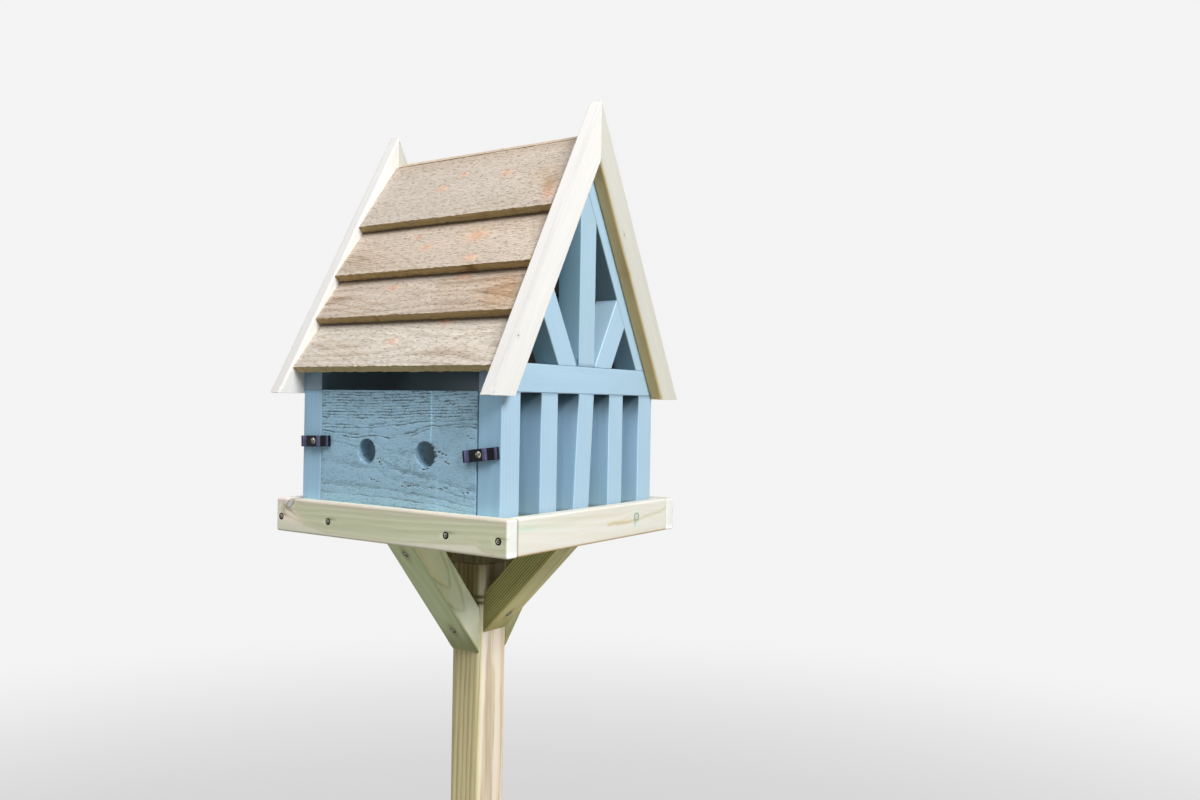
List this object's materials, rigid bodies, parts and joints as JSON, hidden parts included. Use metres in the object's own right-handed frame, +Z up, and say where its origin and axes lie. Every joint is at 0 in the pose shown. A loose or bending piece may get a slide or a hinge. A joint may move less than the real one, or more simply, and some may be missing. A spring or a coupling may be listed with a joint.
{
  "type": "bird table",
  "caption": "Timber bird table with a steep lapped-board roof over a small barred house, set in a railed tray on a braced square post.",
  "frame": {"origin": "centre of the post's foot, at ground level", "axes": "+Z up along the post, front gable faces -Y, the lift-out panel's side faces -X"},
  "size_m": [0.4144, 0.394, 1.805],
  "materials": {
    "post_timber": "planed softwood, pinkish, pressure treated",
    "brace_timber": "sawn softwood, olive green from treatment, striped grain",
    "tray_timber": "planed softwood, pale and slightly green from treatment, with knots",
    "bargeboard_timber": "planed softwood, pale cream",
    "roof_timber": "rough-sawn softwood, warm brown treatment, with knots",
    "painted_frame": "planed softwood in satin blue-grey paint",
    "painted_sawn_board": "rough-sawn board in satin blue-grey paint, grain showing in relief",
    "black_plastic": "moulded black plastic",
    "zinc_screw": "zinc plated"
  },
  "bodies": {
    "table": {"bargeboard_front_left": "bargeboard_timber", "bargeboard_front_right": "bargeboard_timber", "bargeboard_rear_left": "bargeboard_timber", "bargeboard_rear_right": "bargeboard_timber", "bars_front": "painted_frame", "bars_rear": "painted_frame", "bearers": "tray_timber", "brace_front": "brace_timber", "brace_left": "brace_timber", "brace_rear": "brace_timber", "brace_right": "brace_timber", "button_screws": "zinc_screw", "corner_post_front_left": "painted_frame", "corner_post_front_right": "painted_frame", "corner_post_rear_left": "painted_frame", "corner_post_rear_right": "painted_frame", "door_panel": "painted_sawn_board", "floor_boards": "tray_timber", "head_block": "brace_timber", "king_post_front": "painted_frame", "king_post_rear": "painted_frame", "panel_battens": "painted_frame", "post": "post_timber", "rafter_front_left": "painted_frame", "rafter_front_right": "painted_frame", "rafter_rear_left": "painted_frame", "rafter_rear_right": "painted_frame", "rail_front": "tray_timber", "rail_left": "tray_timber", "rail_rear": "tray_timber", "rail_right": "tray_timber", "roof_board_left_1": "roof_timber", "roof_board_left_2": "roof_timber", "roof_board_left_3": "roof_timber", "roof_board_left_4": "roof_timber", "roof_board_right_1": "roof_timber", "roof_board_right_2": "roof_timber", "roof_board_right_3": "roof_timber", "roof_board_right_4": "roof_timber", "side_panel": "painted_sawn_board", "struts_front": "painted_frame", "struts_rear": "painted_frame", "tie_beam_front": "painted_frame", "tie_beam_rear": "painted_frame"},
    "turn_button_front": {"turn_button_front": "black_plastic"},
    "turn_button_rear": {"turn_button_rear": "black_plastic"}
  },
  "joints": [
    {"name": "turn_front", "type": "hinge", "parent": "table", "child": "turn_button_front", "pos_m": [-0.166, -0.142, 1.356], "axis": [-1, 0, 0], "continuous": true},
    {"name": "turn_rear", "type": "hinge", "parent": "table", "child": "turn_button_rear", "pos_m": [-0.166, 0.142, 1.3625], "axis": [-1, 0, 0], "continuous": true}
  ]
}
